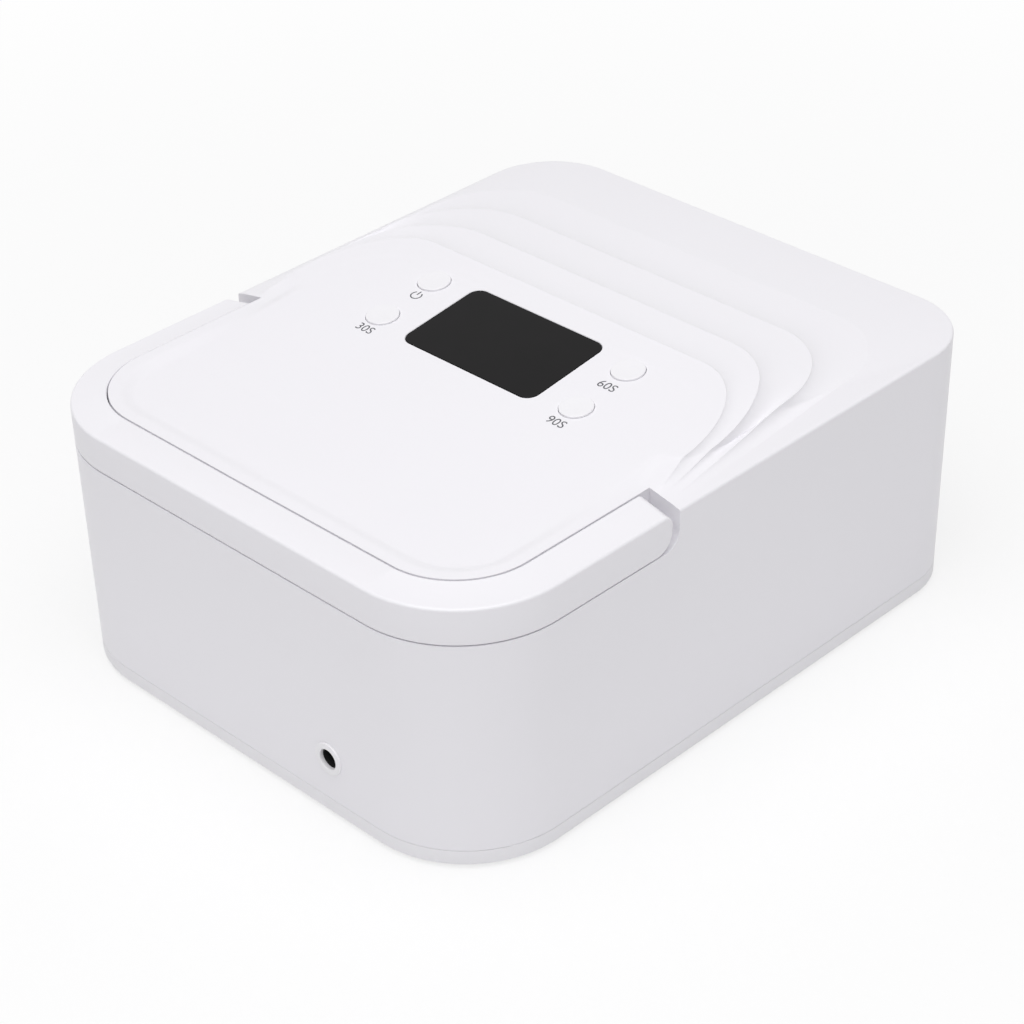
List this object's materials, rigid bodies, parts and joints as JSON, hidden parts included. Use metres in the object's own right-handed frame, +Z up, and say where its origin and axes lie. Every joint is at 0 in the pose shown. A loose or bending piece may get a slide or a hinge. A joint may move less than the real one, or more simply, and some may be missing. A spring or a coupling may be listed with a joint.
{
  "type": "nail lamp",
  "caption": "Box-shaped lamp for curing nail gel: hand opening in front, display and buttons on a sloping top, carrying handle that folds flat round the back edge.",
  "frame": {"origin": "middle of the box's footprint on the surface the feet stand on", "axes": "+Y from the hand opening towards the power socket, +Z up, +X to the right of somebody looking along +Y into the opening"},
  "size_m": [0.188, 0.23, 0.1005],
  "materials": {
    "bezel_white": "moulded ring",
    "board_green": "circuit board",
    "board_white": "white coated light board",
    "brass": "bright",
    "bright_steel": "polished plate",
    "button_white": "satin moulded plastic",
    "cell_blue": "metal can under blue film",
    "cover_white": "satin moulded plastic",
    "handle_white": "satin moulded plastic",
    "holder_black": "moulded",
    "lead_black": "wire insulation",
    "lead_red": "wire insulation",
    "lead_white": "wire insulation",
    "liner_white": "bright reflecting plastic",
    "module_grey": "moulded display frame",
    "rubber_grey": "soft grey rubber",
    "sensor_black": "dark clear resin",
    "shell_white": "satin moulded plastic",
    "socket_black": "moulded",
    "steel": "zinc plated",
    "window_black": "dark polished window"
  },
  "bodies": {
    "housing": {"battery_board": "board_green", "battery_cell_left": "cell_blue", "battery_cell_right": "cell_blue", "battery_holder": "holder_black", "board_screw_back_left": "steel", "board_screw_back_right": "steel", "board_screw_front_left": "steel", "board_screw_front_right": "steel", "bottom_cover": "cover_white", "bottom_screw_back_left": "steel", "bottom_screw_back_right": "steel", "bottom_screw_front_left": "steel", "bottom_screw_front_right": "steel", "buzzer": "holder_black", "charge_board": "board_green", "control_board": "board_green", "dc_socket": "socket_black", "display_module": "module_grey", "display_window": "window_black", "hand_rest_plate": "bright_steel", "hand_sensor": "sensor_black", "holder_screw_left": "steel", "holder_screw_right": "steel", "led_board_left": "board_white", "led_board_right": "board_white", "led_board_top": "board_white", "liner_screw_back_left": "steel", "liner_screw_back_right": "steel", "liner_screw_front_left": "steel", "liner_screw_front_right": "steel", "reflector_liner": "liner_white", "rubber_foot_back_left": "rubber_grey", "rubber_foot_back_right": "rubber_grey", "rubber_foot_front_left": "rubber_grey", "rubber_foot_front_right": "rubber_grey", "socket_bezel": "bezel_white", "socket_nut": "steel", "socket_pin": "brass", "tact_switch_30": "steel", "tact_switch_60": "steel", "tact_switch_90": "steel", "tact_switch_power": "steel", "upper_housing": "shell_white", "charge_lead": "lead_red", "battery_lead": "lead_black", "light_lead": "lead_white"},
    "handle": {"handle_shell": "handle_white", "handle_insert": "handle_white", "hinge_pin_right": "bright_steel", "hinge_pin_left": "bright_steel", "hinge_clip_right": "steel", "hinge_clip_left": "steel"},
    "press_power": {"button_power": "button_white", "switch_plunger_power": "sensor_black"},
    "press_30": {"button_30": "button_white", "switch_plunger_30": "sensor_black"},
    "press_60": {"button_60": "button_white", "switch_plunger_60": "sensor_black"},
    "press_90": {"button_90": "button_white", "switch_plunger_90": "sensor_black"}
  },
  "joints": [
    {"name": "handle_hinge", "type": "hinge", "parent": "housing", "child": "handle", "pos_m": [0, 0.0377, 0.0847], "axis": [1, 0, 0], "range_deg": [0, 90]},
    {"name": "slide_power", "type": "slide", "parent": "housing", "child": "press_power", "axis": [0, -0.1224, -0.9925], "range_m": [0, 0.0005], "stiffness_N_per_m": 300},
    {"name": "slide_30", "type": "slide", "parent": "housing", "child": "press_30", "axis": [0, -0.1224, -0.9925], "range_m": [0, 0.0005], "stiffness_N_per_m": 300},
    {"name": "slide_60", "type": "slide", "parent": "housing", "child": "press_60", "axis": [0, -0.1224, -0.9925], "range_m": [0, 0.0005], "stiffness_N_per_m": 300},
    {"name": "slide_90", "type": "slide", "parent": "housing", "child": "press_90", "axis": [0, -0.1224, -0.9925], "range_m": [0, 0.0005], "stiffness_N_per_m": 300}
  ]
}
